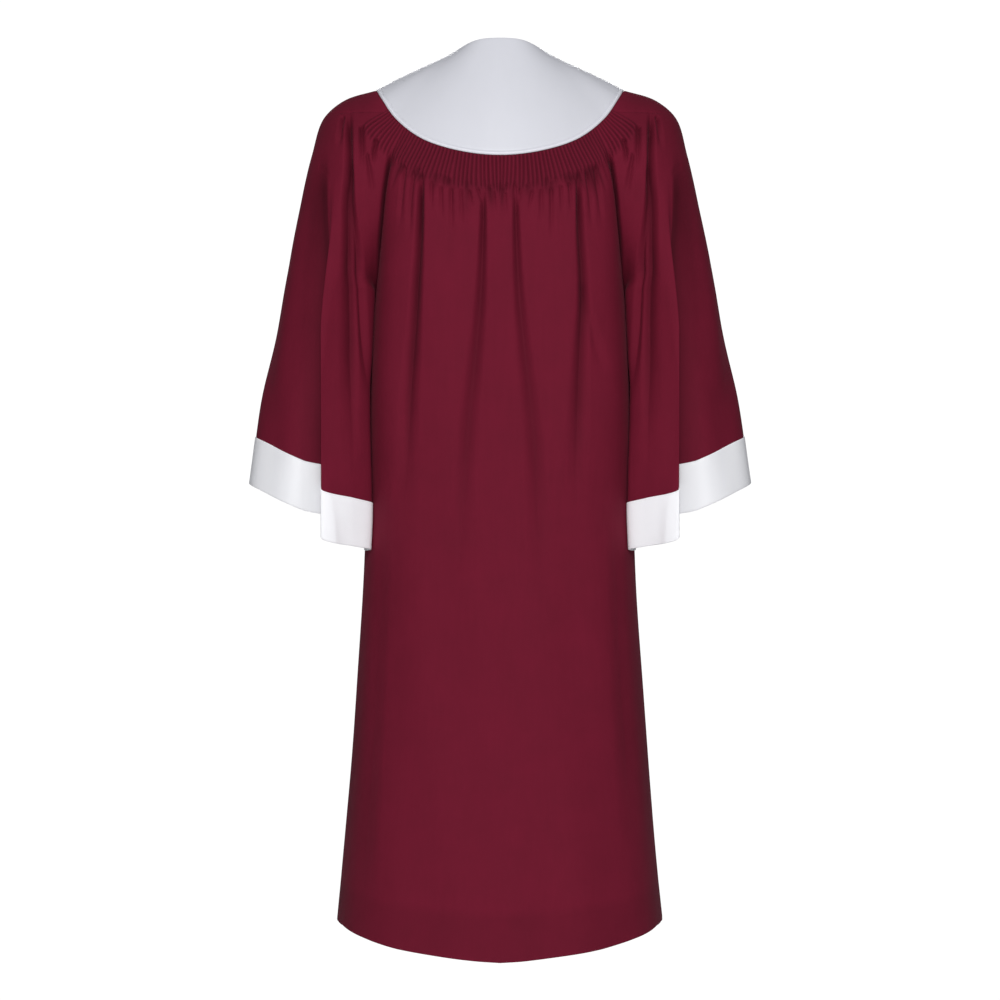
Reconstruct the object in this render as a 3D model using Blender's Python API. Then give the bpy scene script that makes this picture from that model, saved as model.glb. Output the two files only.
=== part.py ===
"""Choir robe, filled out as worn: white satin yoke, fluted burgundy body, bell sleeves with white cuff bands.

Metres, +Z up. The wearer's back faces -Y and X is to the right as seen from behind. The origin is where the
wearer's shoulders hold the robe, midway between them. Every piece of cloth is a closed wall of its own.
Tables are in millimetres, and a row of a table is one level of the robe, from the yoke down.
"""

import math

import bmesh
import bpy
import numpy as np

# Driving dimensions
MM = 0.001
CLOTH = 1.2 * MM  # wall of the burgundy cloth
SATIN = 2.0 * MM  # wall of the yoke and cuffs, two layers turned in
SEAM_GAP = 0.3 * MM  # between two sewn pieces
BACK_EDGE = 146 * MM  # along the yoke seam, from the centre back to the back panel's edge
SLEEVE_FLUTES_BACK = 30 * MM  # fluted part of a sleeve's head behind the shoulder
SLEEVE_FLUTES_FRONT = 34 * MM
FRONT_EDGE = 172 * MM  # along the yoke seam, from the centre front to the front panel's edge
FLUTE_RELIEF = 1.7 * MM
GATHER_RELIEF = 1.5 * MM  # of the gathers below the flutes, each as wide as two flutes
GATHER_LEVELS = 1, 3.5  # where the gathers begin to fade, and where they end
BACK_FLUTES = 36
FRONT_FLUTES = 42
SLEEVE_FLUTES = 6  # on each side of the shoulder
SHOULDER_COLUMNS = 30  # on the plain stretch of a sleeve's head, over the shoulder
UNDERARM = 5  # level of the underarm
CUFF = 7  # level of the cuff seam
SLEEVE_CLEAR = 1.6 * MM  # of the sleeve from the body's side below the underarm
YOKE_SWELL_BACK = 7 * MM  # how far the yoke rounds out between its edges
YOKE_SWELL_SHOULDER = 2 * MM
YOKE_SWELL_FRONT = 6 * MM
MIRROR = np.array([-1, 1, 1])

# Yoke seam, right half, from the centre back over the shoulder to the centre front
YOKE_SEAM = (
    # x, y, z
    (0, -115, -150),
    (59, -107, -144),
    (104, -92, -124),
    (142, -66, -93),
    (167, -36, -59),
    (176, 0, -42),
    (171, 36, -62),
    (155, 66, -106),
    (124, 92, -166),
    (70, 111, -218),
    (0, 118, -236),
)
SHOULDER_ROW = 5

# Neck edge, right half, in the same order: round at the back, a V at the front
NECK_BACK = (
    # x, y, z
    (0, -56, 20),
    (30, -51, 19),
    (55, -32, 16),
    (67, 0, 9),
)
NECK_FRONT = (
    # x, y, z
    (67, 0, 9),
    (58, 34, -34),
    (39, 64, -92),
    (19, 86, -142),
    (0, 99, -184),
)

# Back panel: its edge at each level, which is the armhole seam and then the side seam, and its centre line
BACK_LEVELS = (
    # edge_x, edge_y, edge_z, centre_y, centre_z
    (128, -76, -105, -115, -150),
    (147, -82, -146, -126, -197),
    (155, -82, -186, -131, -238),
    (161, -68, -237, -134, -280),
    (167, -40, -290, -134, -318),
    (173, 0, -335, -133, -352),
    (179, 0, -450, -132, -452),
    (186, 0, -613, -136, -613),
    (191, 0, -743, -145, -744),
    (200, 0, -872, -158, -874),
    (210, 0, -1012, -175, -1016),
    (222, 0, -1152, -195, -1162),
    (227, 0, -1201, -202, -1214),
)

# Front panel, likewise
FRONT_LEVELS = (
    # edge_x, edge_y, edge_z, centre_y, centre_z
    (144, 77, -126, 118, -236),
    (153, 82, -165, 125, -283),
    (158, 80, -202, 128, -320),
    (162, 66, -248, 129, -355),
    (168, 38, -294, 129, -388),
    (173, 0, -335, 128, -420),
    (179, 0, -450, 127, -505),
    (186, 0, -613, 131, -640),
    (191, 0, -743, 138, -757),
    (200, 0, -872, 150, -880),
    (210, 0, -1012, 165, -1018),
    (222, 0, -1152, 185, -1160),
    (227, 0, -1201, 192, -1210),
)
BODY_SQUARENESS = 0.035  # how much fuller than an ellipse the body's sections are
EDGE_EASE = 0.45  # how far out across a panel the underarm's angle begins to show

# Right sleeve: its line over the arm, its underarm seam, how far its rings reach back and forward, and how
# far round the ring the seam lies, in degrees from the line over the arm
SLEEVE_LEVELS = (
    # outer_x, outer_z, inner_x, inner_z, depth, seam_angle
    (176, -42, 128, -105, 76, 80),
    (220, -56, 147, -146, 82, 95),
    (246, -80, 155, -186, 86, 110),
    (262, -132, 161, -237, 84, 125),
    (281, -218, 167, -290, 82, 150),
    (300, -300, 173, -335, 84, 180),
    (322, -412, 180, -462, 92, 180),
    (343, -529, 188, -620, 103, 180),
    (351, -592, 191, -682, 108, 180),
)
INNER_FLATNESS = 0.6  # how much the sleeve's inner side flattens against the body, at the cuff
STEP_DROP = 18 * MM  # at the cuff, how much lower the sleeve's inner fold hangs than its outer part

# Large folds of the back, right then left: troughs that follow three points and fade at their ends
BACK_FOLDS = (
    # x_top, z_top, x_mid, z_mid, x_low, z_low, width, depth
    (20, -198, 30, -390, 57, -735, 22, 7),
    (107, -180, 110, -330, 104, -640, 20, 8),
    (118, -310, 126, -370, 139, -425, 16, 3),
    (-21, -198, -29, -390, -56, -725, 22, 7),
    (-105, -178, -112, -340, -130, -645, 20, 8),
)
FRONT_FOLDS = (
    # x_top, z_top, x_mid, z_mid, x_low, z_low, width, depth
    (24, -285, 34, -460, 58, -790, 22, 7),
    (98, -235, 108, -400, 124, -700, 20, 8),
    (-26, -285, -35, -440, -50, -760, 22, 7),
    (-101, -238, -106, -390, -118, -660, 20, 7),
)
SLEEVE_FOLDS = (
    # x_top, z_top, x_mid, z_mid, x_low, z_low, width, depth
    (207, -140, 213, -330, 206, -620, 17, 6),
    (203, -200, 191, -330, 182, -480, 15, 4),
    (238, -180, 243, -380, 241, -700, 17, 7),
)
STEP_LINE = 2  # row of SLEEVE_FOLDS where the sleeve's hem steps down
STEP_WIDTH = 11 * MM
STEP_REACH = 55 * MM

# Rows of points down each panel, as levels
BAND_ROWS = (0, 0.5, 1)
ARMHOLE_ROWS = (1.5, 2, 2.5, 3, 3.5, 4, 4.5, 5)
BODY_ROWS = (5.5, 6, 6.5, 7, 7.5, 8, 9, 10, 11, 12)
SLEEVE_ROWS = (5.5, 6, 6.5, 7)
CUFF_ROWS = (7, 7.5, 8)
SLEEVE_COLUMNS = 48
YOKE_COLUMNS = 32
YOKE_ROWS = 6

# Colours: linear base colour and roughness
BURGUNDY = (0.128, 0.011, 0.026, 1), 0.78
WHITE = (0.82, 0.83, 0.86, 1), 0.38


def clear_scene():
    for old in list(bpy.data.objects):
        bpy.data.objects.remove(old, do_unlink=True)


def material(name, finish):
    made = bpy.data.materials.new(name)
    made.use_nodes = True
    shader = made.node_tree.nodes["Principled BSDF"]
    colour, roughness = finish
    shader.inputs["Base Color"].default_value = colour
    shader.inputs["Roughness"].default_value = roughness
    shader.inputs["Metallic"].default_value = 0
    made.diffuse_color = colour
    return made


# Curves through tables


def spline(knots, at):
    """The smooth curve through the rows of a table, read at row numbers that may lie between two rows."""
    knots = np.asarray(knots, float)
    steps = np.linalg.norm(np.diff(knots, axis=0), axis=1)
    slopes = np.diff(knots, axis=0) / steps[:, None]
    tangents = np.empty_like(knots)
    tangents[0] = slopes[0]
    tangents[-1] = slopes[-1]
    weights = (steps[1:] / (steps[1:] + steps[:-1]))[:, None]
    tangents[1:-1] = slopes[:-1] * weights + slopes[1:] * (1 - weights)
    at = np.clip(np.asarray(at, float), 0, len(knots) - 1)
    row = np.minimum(at.astype(int), len(knots) - 2)
    f = (at - row)[..., None]
    reach = steps[row][..., None]
    start = (1 + 2 * f) * (1 - f) ** 2 * knots[row] + f * (1 - f) ** 2 * reach * tangents[row]
    end = f**2 * (3 - 2 * f) * knots[row + 1] - f**2 * (1 - f) * reach * tangents[row + 1]
    return start + end


def mirrored_ends(table):
    """The table with its second and second last rows repeated beyond its ends on the other side of the middle."""
    flip = np.array([-1, 1, 1])
    rows = np.asarray(table, float)
    return np.vstack([rows[1] * flip, rows, rows[-2] * flip])


def smooth(value):
    value = np.clip(value, 0, 1)
    return value * value * (3 - 2 * value)


class Loop:
    """The yoke seam as a loop, read by the distance along it from the centre back, to the right."""

    def __init__(self):
        fine = 60
        rows = np.linspace(0, len(YOKE_SEAM) - 1, (len(YOKE_SEAM) - 1) * fine + 1)
        self.points = spline(mirrored_ends(YOKE_SEAM), rows + 1) * MM
        lengths = np.linalg.norm(np.diff(self.points, axis=0), axis=1)
        self.travel = np.concatenate([[0], np.cumsum(lengths)])
        self.half = self.travel[-1]
        self.shoulder = self.travel[SHOULDER_ROW * fine]

    def fold(self, s):
        """A distance on the right half, and the side it came from."""
        s = np.asarray(s, float)
        right = np.where(s > self.half, 2 * self.half - s, np.abs(s))
        side = np.where((s < 0) | (s > self.half), -1.0, 1.0)
        return right, side

    def at(self, s):
        right, side = self.fold(s)
        xyz = [np.interp(right, self.travel, self.points[:, axis]) for axis in range(3)]
        xyz[0] = xyz[0] * side
        return np.stack(xyz, axis=-1)


LOOP = Loop()


def neck(s):
    """The neck edge's point opposite a point of the yoke seam."""
    right, side = LOOP.fold(s)
    behind = right / LOOP.shoulder * (len(NECK_BACK) - 1)
    ahead = (right - LOOP.shoulder) / (LOOP.half - LOOP.shoulder) * (len(NECK_FRONT) - 1)
    rows = np.vstack([np.array(NECK_BACK[1]) * (-1, 1, 1), NECK_BACK, NECK_FRONT[1]])
    at_back = spline(rows, np.minimum(behind, len(NECK_BACK) - 1) + 1)
    rows = np.vstack([NECK_BACK[-2], NECK_FRONT])
    at_front = spline(rows, np.maximum(ahead, 0) + 1)
    points = np.where((right <= LOOP.shoulder)[..., None], at_back, at_front) * MM
    points[..., 0] *= side
    return points


# Surfaces: each is the middle of its cloth, read by two numbers across and down


def yoke(s, w):
    """The yoke at a distance along its seam, from the neck edge (w 0) to the seam (w 1)."""
    top = neck(s)
    bottom = LOOP.at(s)
    nudge = 0.5 * MM
    across = LOOP.at(s + nudge) - LOOP.at(s - nudge)
    out = np.cross(across, top - bottom)
    out /= np.linalg.norm(out, axis=-1, keepdims=True)
    right, _ = LOOP.fold(s)
    stations = (0, LOOP.shoulder, LOOP.half)
    swell = np.interp(right, stations, (YOKE_SWELL_BACK, YOKE_SWELL_SHOULDER, YOKE_SWELL_FRONT))
    w = w[..., None]
    return top * (1 - w) + bottom * w + out * swell[..., None] * np.sin(np.pi * w)


def panel_edge(levels, v):
    """The armhole seam down to the underarm and the side seam below it, which meet there at an angle."""
    armhole = spline(levels[: UNDERARM + 1], v)
    side = spline(levels[UNDERARM:], np.maximum(v - UNDERARM, 0))
    return np.where((v < UNDERARM)[..., None], armhole, side)[..., :3]


def eased_edge(levels, u, v):
    """The panel's edge as its cloth follows it: with the angle at the underarm only close to the seam."""
    rounded = spline(levels, v)[..., :3]
    close = smooth((np.abs(u) - EDGE_EASE) / (1 - EDGE_EASE))[..., None]
    return rounded + (panel_edge(levels, v) - rounded) * close


def panel(levels, head, u, v):
    """A body panel from its left edge (u -1) to its right edge (u 1) at level v. head gives its yoke seam."""

    def section(v):
        row = spline(levels, v)
        edge, centre_y, centre_z = eased_edge(levels, u, v), row[..., 3], row[..., 4]
        spread = 1.35 - 0.35 * smooth((v - 1) / (UNDERARM - 1))
        turn = np.abs(u) ** spread * math.pi / 2
        fuller = BODY_SQUARENESS * smooth((v - 2) / 3)
        x = edge[..., 0] * (np.sin(turn) + fuller * np.sin(3 * turn)) / (1 - fuller) * np.sign(u)
        reach = (np.cos(turn) - fuller * np.cos(3 * turn)) / (1 - fuller)
        y = edge[..., 1] + (centre_y - edge[..., 1]) * reach
        z = edge[..., 2] + (centre_z - edge[..., 2]) * np.cos(turn)
        return np.stack([x, y, z], axis=-1) * MM

    held = 1 - smooth(v / 2)
    return section(v) + (head(u) - section(0 * v)) * held[..., None]


def back_head(u):
    return LOOP.at(u * BACK_EDGE)


def front_head(u):
    return LOOP.at(LOOP.half - u * FRONT_EDGE)


def back(u, v):
    return panel(BACK_LEVELS, back_head, u, v)


def front(u, v):
    return panel(FRONT_LEVELS, front_head, u, v)


def sleeve_seam(q):
    """How far along the yoke seam a point of a right sleeve's head lies, from the back panel's edge (q 0)
    over the shoulder (q 0.5) to the front panel's edge (q 1)."""
    return np.interp(q, (0, 0.5, 1), (BACK_EDGE, LOOP.shoulder, LOOP.half - FRONT_EDGE))


def sleeve_head(q):
    return LOOP.at(sleeve_seam(q))


def step_across(x, z):
    """How far a point of a sleeve lies beyond the line of its overlapping fold, away from the body."""
    return x - fold_line(SLEEVE_FOLDS[STEP_LINE], z)


def sleeve(q, v):
    """The right sleeve's ring at level v, from the back seam (q 0) over the arm (q 0.5) to the front seam (q 1)."""

    def ring(v):
        row = spline(SLEEVE_LEVELS, v)
        outer_x, outer_z, inner_x, inner_z, depth, seam_angle = np.moveaxis(row, -1, 0)
        seam = np.where((q < 0.5)[..., None], panel_edge(BACK_LEVELS, v), panel_edge(FRONT_LEVELS, v))
        below = v >= UNDERARM
        inner_x = np.where(below, inner_x + SLEEVE_CLEAR / MM, seam[..., 0])
        inner_z = np.where(below, inner_z, seam[..., 2])
        seam_angle = np.radians(np.minimum(seam_angle, 180))
        turn = np.abs(1 - 2 * q) * seam_angle
        blend = (np.cos(turn) - np.cos(seam_angle)) / (1 - np.cos(seam_angle))
        x = inner_x + (outer_x - inner_x) * blend
        z = inner_z + (outer_z - inner_z) * blend
        side = np.where(q < 0.5, -1.0, 1.0)
        flat = INNER_FLATNESS * smooth((v - UNDERARM) / (CUFF - UNDERARM)) * smooth((0.55 - blend) / 0.45)
        y = side * depth * np.maximum(np.sin(turn), 0) ** (1 - flat)
        lean = (seam[..., 1] - side * depth * np.sin(seam_angle)) * np.abs(1 - 2 * q)
        y = y + np.where(below, 0, lean)
        away = SLEEVE_CLEAR / MM * smooth((v - 3) / 1.5) * smooth((1 - np.abs(1 - 2 * q)) / 0.08)
        x = x + np.where(below, 0, away * (1 - blend))
        points = np.stack([x, y, z], axis=-1) * MM
        beyond = step_across(points[..., 0], points[..., 2])
        drop = STEP_DROP * np.tanh(beyond / STEP_WIDTH) * np.exp(-np.abs(beyond) / STEP_REACH)
        points[..., 2] += drop * smooth((v - UNDERARM) / (CUFF - UNDERARM))
        return points

    held = 1 - smooth(v / 2)
    return ring(v) + (sleeve_head(q) - ring(0 * v)) * held[..., None]


def fold_line(row, z):
    """Where a fold of a table lies across the robe at height z."""
    x_top, z_top, x_mid, z_mid, x_low, z_low = np.array(row[:6]) * MM
    return np.interp(-z, (-z_top, -z_mid, -z_low), (x_top, x_mid, x_low))


def troughs(folds, points):
    """How far each point lies below the plain cloth, in the large folds of a table."""
    x, z = points[..., 0], points[..., 2]
    sunk = np.zeros_like(x)
    for row in folds:
        width, depth = np.array(row[6:]) * MM
        down = (row[1] * MM - z) / ((row[1] - row[5]) * MM)
        fade = smooth(down / 0.12) * smooth((1 - down) / 0.35)
        across = np.clip((x - fold_line(row, z)) / width, -1, 1)
        sunk += depth * fade * (1 + np.cos(np.pi * across)) / 2
    return sunk


# Walls


def normals(surface, across, down, limits):
    """Directions out of a surface at each point, by differences that stay inside its limits."""
    nudge = 1e-4
    low, high = limits
    right = surface(np.minimum(across + nudge, high), down)
    left = surface(np.maximum(across - nudge, low), down)
    lower = surface(across, down + nudge)
    upper = surface(across, down - nudge)
    out = np.cross(right - left, upper - lower)
    return out / np.linalg.norm(out, axis=-1, keepdims=True)


def unit(vectors):
    return vectors / np.linalg.norm(vectors, axis=-1, keepdims=True)


def yoke_normal(s, w):
    nudge = 0.1 * MM
    across = yoke(s + nudge, w) - yoke(s - nudge, w)
    up = yoke(s, w - 0.001) - yoke(s, w + 0.001)
    return unit(np.cross(across, up))


def edge_frame(level, behind):
    """Along a panel's right edge, the direction out of the cloth and the direction across to the next piece.

    The pieces on both sides of the seam share them, so their walls end face to face.
    """
    v = np.array(float(level))
    surface, facing = (back, 1) if behind else (front, -1)
    one = np.array(1.0)
    out = normals(surface, one, v, (-1, 1)) * facing
    if level < UNDERARM:
        out = out + normals(sleeve, 0 * one if behind else one, v, (0, 1))
    else:
        out = out * (1, 0, 1)
    out = unit(out)
    nudge = 0.01
    down = surface(one, v + nudge) - surface(one, np.maximum(v - nudge, 0))
    return out, unit(np.cross(out, down)) * facing


def parted(points, out, down):
    """A row moved off its seam by half the gap, down the cloth (down 1) or up it (down -1)."""
    along = np.gradient(points, axis=0)
    return points - unit(np.cross(out, along)) * down * SEAM_GAP / 2


def strip(build, first, second):
    """Triangles between two rows of corners, each kept with where it lies across the cloth.

    Where both rows have a corner ahead at the same place, the diagonals lean the other way left of the middle,
    which is place 0.
    """
    (at, corners), (at_next, corners_next) = first, second
    i = j = 0
    while i < len(corners) - 1 or j < len(corners_next) - 1:
        ahead = at[i + 1] if i < len(corners) - 1 else math.inf
        ahead_next = at_next[j + 1] if j < len(corners_next) - 1 else math.inf
        if ahead < ahead_next or (ahead == ahead_next and ahead > 0):
            face = (corners[i], corners_next[j], corners[i + 1])
            i += 1
        else:
            face = (corners[i], corners_next[j], corners_next[j + 1])
            j += 1
        if len(set(face)) == 3:
            build.faces.new(face)


def wall(name, outer, inner, finish):
    """A closed wall from the rows of its outer and its inner side.

    A row is where its points lie across the cloth, and the points, from one edge to the other.
    """
    build = bmesh.new()
    known = {}

    def corner(point):
        key = tuple(np.round(point, 8))
        if key not in known:
            known[key] = build.verts.new(point)
        return known[key]

    far, near = ([(at, [corner(point) for point in row]) for at, row in rows] for rows in (outer, inner))
    for side in (far, near):
        for upper, lower in zip(side, side[1:]):
            strip(build, upper, lower)
    for k in (0, -1):
        strip(build, far[k], near[k])
    for end in (0, -1):
        for k in range(len(far) - 1):
            (_, upper), (_, lower) = far[k : k + 2]
            if upper[0] is upper[-1] and lower[0] is lower[-1]:
                continue
            build.faces.new((upper[end], lower[end], near[k + 1][1][end], near[k][1][end]))
    bmesh.ops.triangulate(build, faces=build.faces[:])
    bmesh.ops.recalc_face_normals(build, faces=build.faces[:])
    if build.calc_volume(signed=True) < 0:
        bmesh.ops.reverse_faces(build, faces=build.faces[:])
    mesh = bpy.data.meshes.new(name)
    build.to_mesh(mesh)
    build.free()
    mesh.shade_smooth()
    mesh.set_sharp_from_angle(angle=math.radians(50))
    mesh.materials.append(material(name + "_cloth", finish))
    made = bpy.data.objects.new(name, mesh)
    bpy.context.scene.collection.objects.link(made)
    return made


def zigzag(count):
    """Numbers from 0 to 1 with two steps for each flute, and which of them lie on a flute's ridge."""
    at = np.linspace(0, 1, 2 * count + 1)
    return at, np.arange(2 * count + 1) % 2 == 1


def panel_row(surface, folds, behind, v, u, lift):
    """One row of points across a body panel, moved out of its middle by lift, less its folds."""
    down = np.full_like(u, v)
    points = surface(u, down)
    facing = 1 if behind else -1
    out = normals(surface, u, down, (-1, 1)) * facing
    edge, beside = edge_frame(v, behind)
    if v == 0:
        s = u * BACK_EDGE if behind else LOOP.half - u * FRONT_EDGE
        out = yoke_normal(s, np.ones_like(s))
        points = parted(points, out, facing)
    else:
        out[-1] = edge
        out[0] = edge * MIRROR
    points[-1] -= beside * SEAM_GAP / 2
    points[0] -= beside * MIRROR * SEAM_GAP / 2
    calm = smooth((1 - np.abs(u)) / 0.12)
    return points + out * (lift - troughs(folds, points) * calm)[:, None]


def make_panel(name, surface, folds, behind, flutes):
    band, ridge = zigzag(flutes)
    band = band * 2 - 1
    plain = np.linspace(-1, 1, flutes + 1)
    gathers = np.arange(flutes + 1) % 2 == 1
    fade_from, fade_to = GATHER_LEVELS
    half = CLOTH / 2
    outer, inner = [], []
    for v in BAND_ROWS + ARMHOLE_ROWS + BODY_ROWS:
        columns = band if v in BAND_ROWS else plain
        fading = 1 - smooth((v - fade_from) / (fade_to - fade_from))
        relief = FLUTE_RELIEF * ridge if v in BAND_ROWS else GATHER_RELIEF * gathers * fading
        outer.append((columns, panel_row(surface, folds, behind, v, columns, half + relief)))
        inner.append((plain, panel_row(surface, folds, behind, v, plain, 0 * plain - half)))
    return wall(name, outer, inner, BURGUNDY)


def sleeve_columns():
    """Where the points of a sleeve's fluted head lie round its ring, and which of them are on a ridge."""
    over = LOOP.shoulder - BACK_EDGE
    ahead = LOOP.half - FRONT_EDGE - LOOP.shoulder
    flutes, ridge = zigzag(SLEEVE_FLUTES)
    behind = flutes * SLEEVE_FLUTES_BACK / over / 2
    before = 1 - flutes[::-1] * SLEEVE_FLUTES_FRONT / ahead / 2
    up = np.linspace(behind[-1], 0.5, SHOULDER_COLUMNS // 2 + 1)
    over = np.linspace(0.5, before[0], SHOULDER_COLUMNS // 2 + 1)
    middle = np.concatenate([up[1:], over[1:-1]])
    at = np.concatenate([behind, middle, before])
    return at, np.concatenate([ridge, np.zeros(len(middle), bool), ridge])


def sleeve_row(side, v, q, lift, part=0):
    """One row of points round a sleeve, moved out of its middle by lift, less its folds.

    part is 1 for the row just below a seam round the sleeve, and -1 for the row just above it.
    """
    down = np.full_like(q, v)
    points = sleeve(q, down)
    out = normals(sleeve, q, down, (0, 1))
    if v < UNDERARM:
        for end, behind in ((0, True), (-1, False)):
            edge, beside = edge_frame(v, behind)
            out[end] = edge
            points[end] += beside * SEAM_GAP / 2
    else:
        out[0] = unit(out[0] * (1, 0, 1))
        out[-1] = out[0]
        points[-1] = points[0]
    if v == 0:
        out = yoke_normal(sleeve_seam(q), np.ones_like(q))
    if part:
        points = parted(points, out, part)
        if v >= UNDERARM:
            points[-1] = points[0] = points[0] * (1, 0, 1)
    calm = smooth((1 - np.abs(1 - 2 * q)) / 0.15)
    row = points + out * (lift - troughs(SLEEVE_FOLDS, points) * calm)[:, None]
    return row * (side, 1, 1)


def make_sleeve(name, side):
    head, ridge = sleeve_columns()
    plain = np.linspace(0, 1, SLEEVE_COLUMNS + 1)
    half = CLOTH / 2
    outer, inner = [], []
    for v in BAND_ROWS + ARMHOLE_ROWS + SLEEVE_ROWS:
        part = {0: 1, CUFF: -1}.get(v, 0)
        columns = head if v in BAND_ROWS else plain
        relief = FLUTE_RELIEF * ridge if v in BAND_ROWS else 0
        outer.append((columns, sleeve_row(side, v, columns, half + relief + 0 * columns, part)))
        columns = head[~ridge] if v in BAND_ROWS else plain
        inner.append((columns, sleeve_row(side, v, columns, 0 * columns - half, part)))
    return wall(name, outer, inner, BURGUNDY)


def make_cuff(name, side):
    around = np.linspace(0, 1, SLEEVE_COLUMNS + 1)
    outer, inner = [], []
    for v in CUFF_ROWS:
        part = 1 if v == CUFF else 0
        for rows, lift in ((outer, SATIN / 2), (inner, -SATIN / 2)):
            rows.append((around, sleeve_row(side, v, around, 0 * around + lift, part)))
    return wall(name, outer, inner, WHITE)


def yoke_columns(behind):
    """Distances along the yoke seam that the yoke's lower edge shares with the pieces sewn to it."""
    head, _ = sleeve_columns()
    sleeve_half = sleeve_seam(head[head <= 0.5] if behind else head[head >= 0.5])
    if behind:
        panel_half = np.linspace(0, BACK_EDGE, BACK_FLUTES // 2 + 1)
        right = np.concatenate([panel_half, sleeve_half[1:]])
        return np.concatenate([-right[:0:-1], right])
    panel_half = LOOP.half - np.linspace(0, FRONT_EDGE, FRONT_FLUTES // 2 + 1)[::-1]
    right = np.concatenate([sleeve_half, panel_half[1:]])
    return np.concatenate([right, 2 * LOOP.half - right[-2::-1]])


def make_yoke(name, behind):
    """The back or the front of the yoke, which meet along the tops of the shoulders."""
    seam = yoke_columns(behind)
    plain = np.linspace(seam[0], seam[-1], YOKE_COLUMNS + 1)
    outer, inner = [], []
    for w in np.linspace(0, 1, YOKE_ROWS):
        for rows, lift in ((outer, SATIN / 2), (inner, -SATIN / 2)):
            s = (seam if w == 1 else plain).copy()
            s[0] += SEAM_GAP / 2
            s[-1] -= SEAM_GAP / 2
            down = np.full_like(s, w)
            points = yoke(s, down)
            out = yoke_normal(s, down)
            if w == 1:
                points = parted(points, out, -1)
            rows.append((s, points + out * lift))
    return wall(name, outer, inner, WHITE)


def main():
    clear_scene()
    make_yoke("back_yoke", True)
    make_yoke("front_yoke", False)
    make_panel("back", back, BACK_FOLDS, True, BACK_FLUTES)
    make_panel("front", front, FRONT_FOLDS, False, FRONT_FLUTES)
    for word, side in (("left", -1), ("right", 1)):
        make_sleeve("sleeve_" + word, side)
        make_cuff("cuff_" + word, side)


main()
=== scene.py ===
"""Looks of the choir robe: thin cloth on the solids' forms, with its flutes, gathers, folds, seams and hems.

Metres, +Z up. The back faces -Y, towards the camera, and X is to the right as seen there. The forms follow
the part's own tables, some rows moved by a few millimetres to the lines of the photo. The tables are in
millimetres, and a row is one level of the robe from the yoke down.
"""

import math

import bpy
import numpy as np
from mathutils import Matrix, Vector


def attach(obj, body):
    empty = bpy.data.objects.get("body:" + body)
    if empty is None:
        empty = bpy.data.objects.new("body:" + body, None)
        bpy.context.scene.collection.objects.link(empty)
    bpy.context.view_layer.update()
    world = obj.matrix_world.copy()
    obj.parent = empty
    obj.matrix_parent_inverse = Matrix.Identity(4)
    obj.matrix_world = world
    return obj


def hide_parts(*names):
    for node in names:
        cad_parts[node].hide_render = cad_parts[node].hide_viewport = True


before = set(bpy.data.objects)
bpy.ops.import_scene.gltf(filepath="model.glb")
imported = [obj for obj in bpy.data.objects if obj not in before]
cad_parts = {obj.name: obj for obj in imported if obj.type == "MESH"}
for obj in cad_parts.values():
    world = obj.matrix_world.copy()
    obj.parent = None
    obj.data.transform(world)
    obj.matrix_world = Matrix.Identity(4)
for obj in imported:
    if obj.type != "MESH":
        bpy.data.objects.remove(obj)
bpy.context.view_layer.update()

MM = 0.001

# Where the body panels end along the yoke seam, from the centre back and the centre front
BACK_EDGE = 146 * MM
FRONT_EDGE = 172 * MM
SHOULDER_ROW = 5
UNDERARM = 5
CUFF = 7
YOKE_SWELL = (7 * MM, 2 * MM, 6 * MM)
BODY_SQUARENESS = 0.035
SIDE_FULLNESS = 0.048
EDGE_EASE = 0.45

# Flutes: counts, mesh columns for each, then where they end, their height and how far they stray sideways
BACK_FLUTES = 56
FRONT_FLUTES = 66
FLUTE_COLUMNS = 7
FLUTE_FOOT = (40, 49)
FLUTE_HEIGHT = (1.6, 2.6)
FLUTE_STRAY = 0.2
FLUTE_MIDDLE = 0.35
# How much shade is painted into the flute valleys
FLUTE_SHADE = 0.75
SLEEVE_FLUTES = 9
SLEEVE_FLUTES_BACK = 43 * MM
SLEEVE_FLUTES_FRONT = 46 * MM
SLEEVE_FLUTE_FOOT = 42 * MM
SLEEVE_FLUTE_HEIGHT = 2.2 * MM
# Gathers below the flutes: where they start, their length, half width in flutes, and greatest depth
GATHER_START = (40, 47)
GATHER_REACH = (16, 60)
GATHER_WIDTH = (0.9, 1.7)
GATHER_DEPTH = 3.6 * MM

# Sleeve: its distance from the body, the step in its cuff, and the fold that lies over itself above the step
SLEEVE_CLEAR = 1.6
SLEEVE_REST = 0.6
INNER_FLATNESS = 0.6
STEP_RISE = 21 * MM
STEP_WIDTH = 5 * MM
STEP_REACH = 78 * MM
OVERLAP = 26 * MM
OVERLAP_WIDTH = 16 * MM
OVERLAP_LIFT = 7 * MM
BAND_SEAM_Z = -79 * MM

# Seams and hems
ARMHOLE_DIP = 11 * MM
ARMHOLE_WIDTH = 4.6 * MM
ARMHOLE_SHADE_WIDTH = 3.5 * MM
TUCK_DEPTH = 1.6 * MM
TUCK_WIDTH = 3 * MM
TUCK_LENGTH = 2 * MM
HEM_STITCH = 55 * MM
HEM_STITCH_WIDTH = 1.2 * MM
HEM_STITCH_DEPTH = 0.5 * MM
BODY_HEM_ROWS = 12
CUFF_HEM_ROWS = 20
# Rolled edges of the yoke: steps past the edge and inward, in millimetres
SEAM_ROLL = ((0.7, 0.35), (1.1, 1.1), (0.8, 1.8), (0.2, 2.2))
NECK_ROLL = ((0.2, 1.6), (0.8, 1.2), (0.9, 0.7), (0.6, 0.2))

# How much of its tone the cloth loses in the deepest fold, where the most shade is painted into its colour
DEEPEST_SHADE = 0.62
SATIN_SHADE = 0.3

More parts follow.
